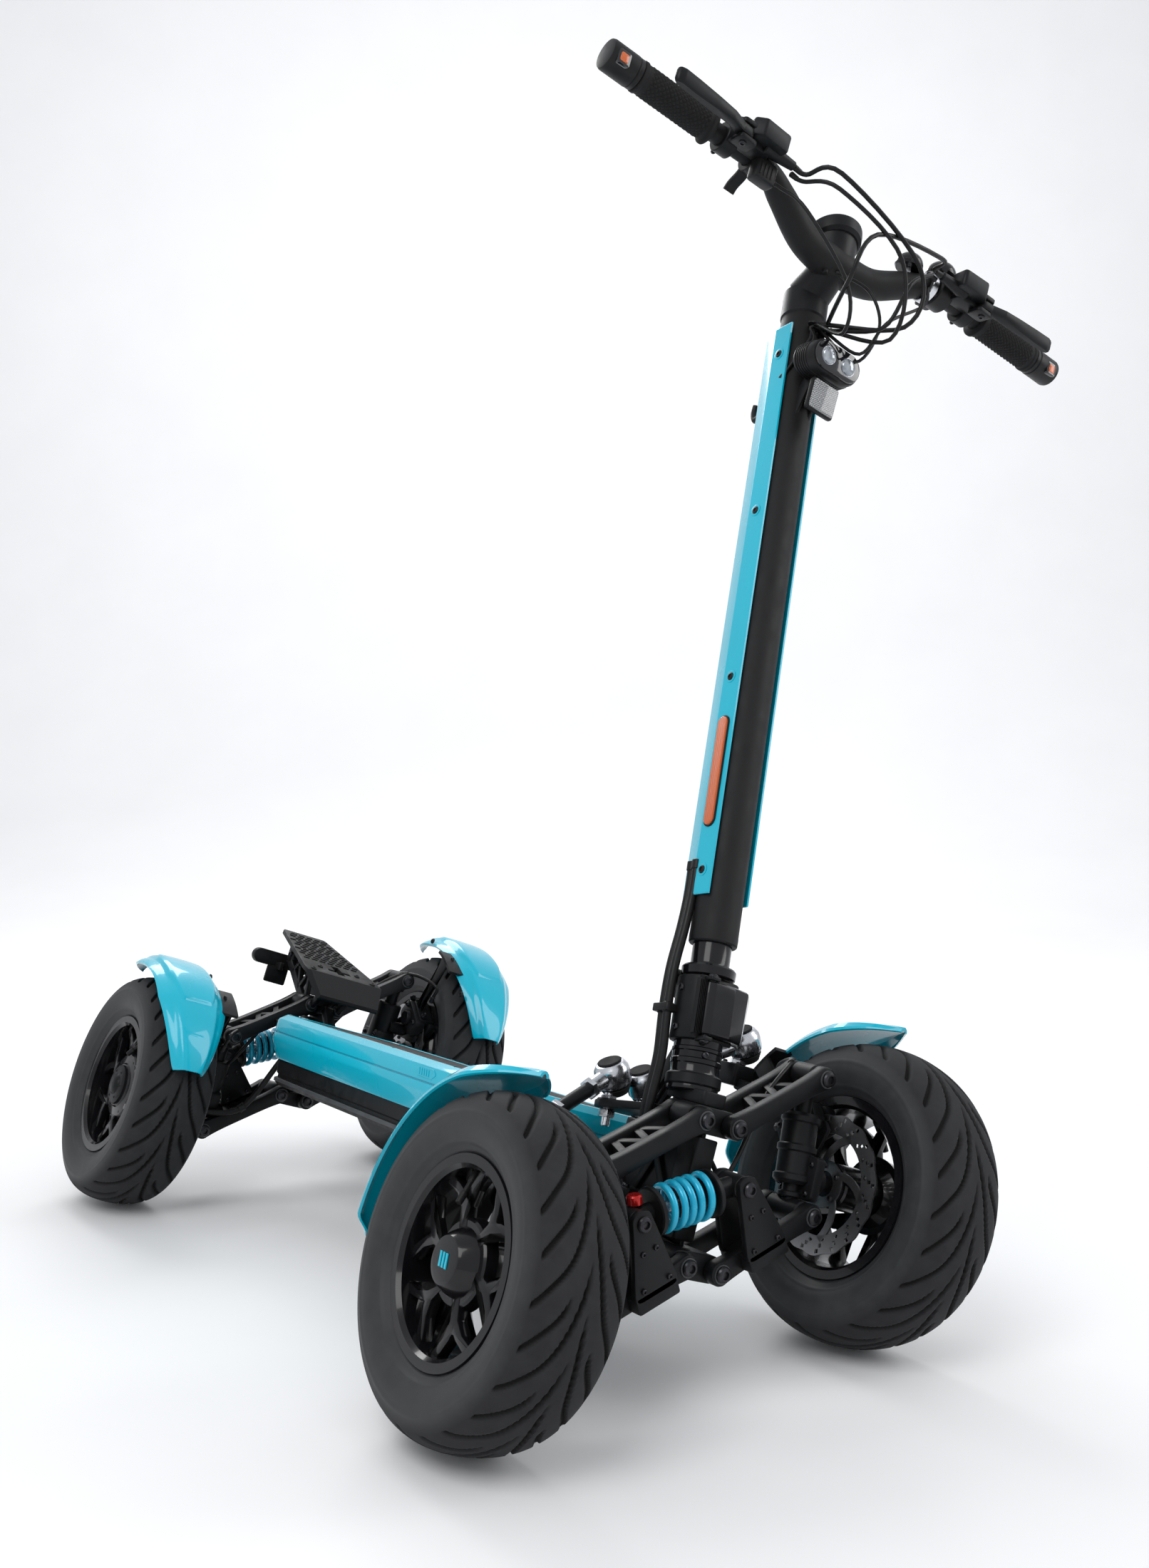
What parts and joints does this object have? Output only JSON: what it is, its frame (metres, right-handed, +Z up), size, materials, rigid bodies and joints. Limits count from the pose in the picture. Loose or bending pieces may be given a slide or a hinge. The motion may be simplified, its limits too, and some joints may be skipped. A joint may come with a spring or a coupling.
{
  "type": "four-wheeled leaning stand-up electric scooter",
  "caption": "Stand-up electric scooter with paired front and rear wheels on leaning double wishbones, raked steering stem with folding clamp, riser bar, brake levers and a covered deck.",
  "frame": {"origin": "middle of the footprint, on the ground", "axes": "+Z up, front of the vehicle towards -Y, rider's left towards +X; it stands leaned 18.3 degrees to the left"},
  "size_m": [1.013, 1.235, 1.3341],
  "materials": {
    "satin_black": "satin black anodised",
    "tyre": "moulded rubber",
    "cyan_gloss": "gloss cyan",
    "grip_rubber": "diamond knurled",
    "gloss_black": "gloss black",
    "brake_steel": "ground",
    "spring_cyan": "powder coated cyan",
    "zinc": "bright zinc plate",
    "lens_black": "smoked lens",
    "matt_black": "matt black"
  },
  "bodies": {
    "chassis": {"deck_tray": "satin_black", "battery_pack": "matt_black", "deck_top": "matt_black", "side_cover_left": "cyan_gloss", "side_cover_right": "cyan_gloss", "front_subframe": "satin_black", "rear_subframe": "satin_black", "footplate": "matt_black", "tail_light": "lens_black"},
    "front_left_lower_arm": {"front_left_lower_arm": "satin_black"},
    "front_left_upper_arm": {"front_left_upper_arm": "satin_black"},
    "front_left_carrier": {"front_left_carrier": "satin_black"},
    "front_left_knuckle": {"front_left_knuckle": "satin_black", "front_left_mudguard": "cyan_gloss"},
    "front_left_wheel": {"front_left_tyre": "tyre", "front_left_rim": "gloss_black", "front_left_disc": "brake_steel"},
    "front_right_lower_arm": {"front_right_lower_arm": "satin_black"},
    "front_right_upper_arm": {"front_right_upper_arm": "satin_black"},
    "front_right_carrier": {"front_right_carrier": "satin_black"},
    "front_right_knuckle": {"front_right_knuckle": "satin_black", "front_right_mudguard": "cyan_gloss"},
    "front_right_wheel": {"front_right_tyre": "tyre", "front_right_rim": "gloss_black", "front_right_disc": "brake_steel"},
    "rear_left_lower_arm": {"rear_left_lower_arm": "satin_black"},
    "rear_left_upper_arm": {"rear_left_upper_arm": "satin_black"},
    "rear_left_carrier": {"rear_left_carrier": "satin_black", "rear_left_mudguard": "cyan_gloss"},
    "rear_left_wheel": {"rear_left_tyre": "tyre", "rear_left_hub_motor": "satin_black"},
    "rear_right_lower_arm": {"rear_right_lower_arm": "satin_black"},
    "rear_right_upper_arm": {"rear_right_upper_arm": "satin_black"},
    "rear_right_carrier": {"rear_right_carrier": "satin_black", "rear_right_mudguard": "cyan_gloss"},
    "rear_right_wheel": {"rear_right_tyre": "tyre", "rear_right_hub_motor": "satin_black"},
    "front_damper_body": {"front_damper_body": "satin_black", "front_damper_spring": "spring_cyan"},
    "front_damper_rod": {"front_damper_rod": "satin_black"},
    "rear_damper_body": {"rear_damper_body": "satin_black", "rear_damper_spring": "spring_cyan"},
    "rear_damper_rod": {"rear_damper_rod": "satin_black"},
    "steering_column": {"steering_column": "gloss_black"},
    "tie_rod_stud_left": {"tie_rod_stud_left": "zinc"},
    "tie_rod_left": {"tie_rod_left": "zinc"},
    "tie_rod_stud_right": {"tie_rod_stud_right": "zinc"},
    "tie_rod_right": {"tie_rod_right": "zinc"},
    "stem": {"stem_tube": "matt_black", "stem_cover": "cyan_gloss", "handlebar": "matt_black", "headlight": "satin_black", "grip_left": "grip_rubber", "grip_right": "grip_rubber", "lever_perch_left": "satin_black", "lever_perch_right": "satin_black"},
    "clamp_lever": {"clamp_lever": "satin_black"},
    "brake_lever_left": {"brake_lever_left": "satin_black"},
    "brake_lever_right": {"brake_lever_right": "satin_black"},
    "thumb_throttle": {"thumb_throttle": "satin_black"}
  },
  "joints": [
    {"name": "tilt", "type": "hinge", "parent": "chassis", "child": "front_left_lower_arm", "pos_m": [-0.18236, -0.465, 0.11356], "axis": [0, 1, 0], "range_deg": [0, 71]},
    {"name": "front_left_upper_arm_pivot", "type": "hinge", "parent": "chassis", "child": "front_left_upper_arm", "pos_m": [-0.14069, -0.465, 0.23955], "axis": [0, 1, 0], "range_deg": [0, 71]},
    {"name": "front_left_carrier_pivot", "type": "hinge", "parent": "front_left_lower_arm", "child": "front_left_carrier", "pos_m": [-0.06772, -0.465, 0.14905], "axis": [0, 1, 0], "range_deg": [-71, 0]},
    {"name": "front_left_swivel", "type": "hinge", "parent": "front_left_carrier", "child": "front_left_knuckle", "pos_m": [-0.06772, -0.465, 0.14905], "axis": [0.3114, 0.1271, 0.9417], "range_deg": [-18, 18]},
    {"name": "front_left_wheel_spin", "type": "hinge", "parent": "front_left_knuckle", "child": "front_left_wheel", "pos_m": [0.03113, -0.465, 0.15016], "axis": [0.9494, 0, -0.314], "continuous": true},
    {"name": "front_right_lower_arm_pivot", "type": "hinge", "parent": "chassis", "child": "front_right_lower_arm", "pos_m": [-0.22223, -0.465, 0.12675], "axis": [0, 1, 0], "range_deg": [0, 71]},
    {"name": "front_right_upper_arm_pivot", "type": "hinge", "parent": "chassis", "child": "front_right_upper_arm", "pos_m": [-0.18057, -0.465, 0.25274], "axis": [0, 1, 0], "range_deg": [0, 71]},
    {"name": "front_right_carrier_pivot", "type": "hinge", "parent": "front_right_lower_arm", "child": "front_right_carrier", "pos_m": [-0.33687, -0.465, 0.09126], "axis": [0, 1, 0], "range_deg": [-71, 0]},
    {"name": "front_right_swivel", "type": "hinge", "parent": "front_right_carrier", "child": "front_right_knuckle", "pos_m": [-0.33687, -0.465, 0.09126], "axis": [0.3114, 0.1271, 0.9417], "range_deg": [-18, 18]},
    {"name": "front_right_wheel_spin", "type": "hinge", "parent": "front_right_knuckle", "child": "front_right_wheel", "pos_m": [-0.41556, -0.465, 0.1511], "axis": [0.9494, 0, -0.314], "continuous": true},
    {"name": "rear_left_lower_arm_pivot", "type": "hinge", "parent": "chassis", "child": "rear_left_lower_arm", "pos_m": [-0.18236, 0.465, 0.11356], "axis": [0, 1, 0], "range_deg": [0, 71]},
    {"name": "rear_left_upper_arm_pivot", "type": "hinge", "parent": "chassis", "child": "rear_left_upper_arm", "pos_m": [-0.14069, 0.465, 0.23955], "axis": [0, 1, 0], "range_deg": [0, 71]},
    {"name": "rear_left_carrier_pivot", "type": "hinge", "parent": "rear_left_lower_arm", "child": "rear_left_carrier", "pos_m": [-0.06772, 0.465, 0.14905], "axis": [0, 1, 0], "range_deg": [-71, 0]},
    {"name": "rear_left_wheel_spin", "type": "hinge", "parent": "rear_left_carrier", "child": "rear_left_wheel", "pos_m": [0.03113, 0.465, 0.15016], "axis": [0.9494, 0, -0.314], "continuous": true},
    {"name": "rear_right_lower_arm_pivot", "type": "hinge", "parent": "chassis", "child": "rear_right_lower_arm", "pos_m": [-0.22223, 0.465, 0.12675], "axis": [0, 1, 0], "range_deg": [0, 71]},
    {"name": "rear_right_upper_arm_pivot", "type": "hinge", "parent": "chassis", "child": "rear_right_upper_arm", "pos_m": [-0.18057, 0.465, 0.25274], "axis": [0, 1, 0], "range_deg": [0, 71]},
    {"name": "rear_right_carrier_pivot", "type": "hinge", "parent": "rear_right_lower_arm", "child": "rear_right_carrier", "pos_m": [-0.33687, 0.465, 0.09126], "axis": [0, 1, 0], "range_deg": [-71, 0]},
    {"name": "rear_right_wheel_spin", "type": "hinge", "parent": "rear_right_carrier", "child": "rear_right_wheel", "pos_m": [-0.41556, 0.465, 0.1511], "axis": [0.9494, 0, -0.314], "continuous": true},
    {"name": "front_damper_body_pivot", "type": "hinge", "parent": "front_left_lower_arm", "child": "front_damper_body", "pos_m": [-0.16145, -0.495, 0.19279], "axis": [0, 1, 0], "range_deg": [-22.99, 0.5]},
    {"name": "front_damper_rod_pivot", "type": "hinge", "parent": "front_right_lower_arm", "child": "front_damper_rod", "pos_m": [-0.28425, -0.495, 0.18031], "axis": [0, 1, 0], "range_deg": [-22.99, 0.5]},
    {"name": "rear_damper_body_pivot", "type": "hinge", "parent": "rear_left_lower_arm", "child": "rear_damper_body", "pos_m": [-0.16145, 0.495, 0.19279], "axis": [0, 1, 0], "range_deg": [-22.99, 0.5]},
    {"name": "rear_damper_rod_pivot", "type": "hinge", "parent": "rear_right_lower_arm", "child": "rear_damper_rod", "pos_m": [-0.28425, 0.495, 0.18031], "axis": [0, 1, 0], "range_deg": [-22.99, 0.5]},
    {"name": "steering", "type": "hinge", "parent": "chassis", "child": "steering_column", "pos_m": [-0.19171, -0.439, 0.15215], "axis": [0.3098, 0.1633, 0.9367], "range_deg": [-18, 18]},
    {"name": "tie_rod_stud_left_turn", "type": "hinge", "parent": "steering_column", "child": "tie_rod_stud_left", "pos_m": [-0.13473, -0.314, 0.25759], "axis": [0.3098, 0.1633, 0.9367], "range_deg": [-18, 18]},
    {"name": "tie_rod_left_swing", "type": "hinge", "parent": "tie_rod_stud_left", "child": "tie_rod_left", "pos_m": [-0.13473, -0.314, 0.25759], "axis": [0, 1, 0], "range_deg": [0, 71]},
    {"name": "tie_rod_stud_right_turn", "type": "hinge", "parent": "steering_column", "child": "tie_rod_stud_right", "pos_m": [-0.1746, -0.314, 0.27078], "axis": [0.3098, 0.1633, 0.9367], "range_deg": [-18, 18]},
    {"name": "tie_rod_right_swing", "type": "hinge", "parent": "tie_rod_stud_right", "child": "tie_rod_right", "pos_m": [-0.1746, -0.314, 0.27078], "axis": [0, 1, 0], "range_deg": [0, 71]},
    {"name": "fold", "type": "hinge", "parent": "steering_column", "child": "stem", "pos_m": [-0.12009, -0.37184, 0.36871], "axis": [-0.9494, 0, 0.314], "range_deg": [0, 68]},
    {"name": "clamp_lever_turn", "type": "hinge", "parent": "steering_column", "child": "clamp_lever", "pos_m": [-0.14205, -0.43166, 0.3501], "axis": [-0.3098, -0.1633, -0.9367], "range_deg": [0, 100]},
    {"name": "brake_lever_left_pull", "type": "hinge", "parent": "stem", "child": "brake_lever_left", "pos_m": [0.34228, -0.351, 1.14257], "axis": [0.314, 0, 0.9494], "range_deg": [0, 9], "stiffness_Nm_per_rad": 4, "springref_deg": -5.73},
    {"name": "brake_lever_right_pull", "type": "hinge", "parent": "stem", "child": "brake_lever_right", "pos_m": [-0.0299, -0.351, 1.26566], "axis": [-0.314, 0, -0.9494], "range_deg": [0, 9], "stiffness_Nm_per_rad": 4, "springref_deg": -5.73},
    {"name": "throttle_push", "type": "hinge", "parent": "stem", "child": "thumb_throttle", "pos_m": [0.00933, -0.317, 1.25689], "axis": [-0.9494, 0, 0.314], "range_deg": [0, 35], "stiffness_Nm_per_rad": 0.4, "springref_deg": -11.46}
  ],
  "couplings": [
    {"joint": "front_left_upper_arm_pivot", "follows": "tilt", "ratio": 1},
    {"joint": "front_left_carrier_pivot", "follows": "tilt", "ratio": -1},
    {"joint": "front_left_swivel", "follows": "steering", "ratio": 1},
    {"joint": "front_right_lower_arm_pivot", "follows": "tilt", "ratio": 1},
    {"joint": "front_right_upper_arm_pivot", "follows": "tilt", "ratio": 1},
    {"joint": "front_right_carrier_pivot", "follows": "tilt", "ratio": -1},
    {"joint": "front_right_swivel", "follows": "steering", "ratio": 1},
    {"joint": "rear_left_lower_arm_pivot", "follows": "tilt", "ratio": 1},
    {"joint": "rear_left_upper_arm_pivot", "follows": "tilt", "ratio": 1},
    {"joint": "rear_left_carrier_pivot", "follows": "tilt", "ratio": -1},
    {"joint": "rear_right_lower_arm_pivot", "follows": "tilt", "ratio": 1},
    {"joint": "rear_right_upper_arm_pivot", "follows": "tilt", "ratio": 1},
    {"joint": "rear_right_carrier_pivot", "follows": "tilt", "ratio": -1},
    {"joint": "front_damper_body_pivot", "follows": "tilt", "ratio": -0.32104},
    {"joint": "front_damper_rod_pivot", "follows": "tilt", "ratio": -0.32104},
    {"joint": "rear_damper_body_pivot", "follows": "tilt", "ratio": -0.32104},
    {"joint": "rear_damper_rod_pivot", "follows": "tilt", "ratio": -0.32104},
    {"joint": "tie_rod_stud_left_turn", "follows": "steering", "ratio": -1},
    {"joint": "tie_rod_left_swing", "follows": "tilt", "ratio": 1},
    {"joint": "tie_rod_stud_right_turn", "follows": "steering", "ratio": -1},
    {"joint": "tie_rod_right_swing", "follows": "tilt", "ratio": 1}
  ]
}
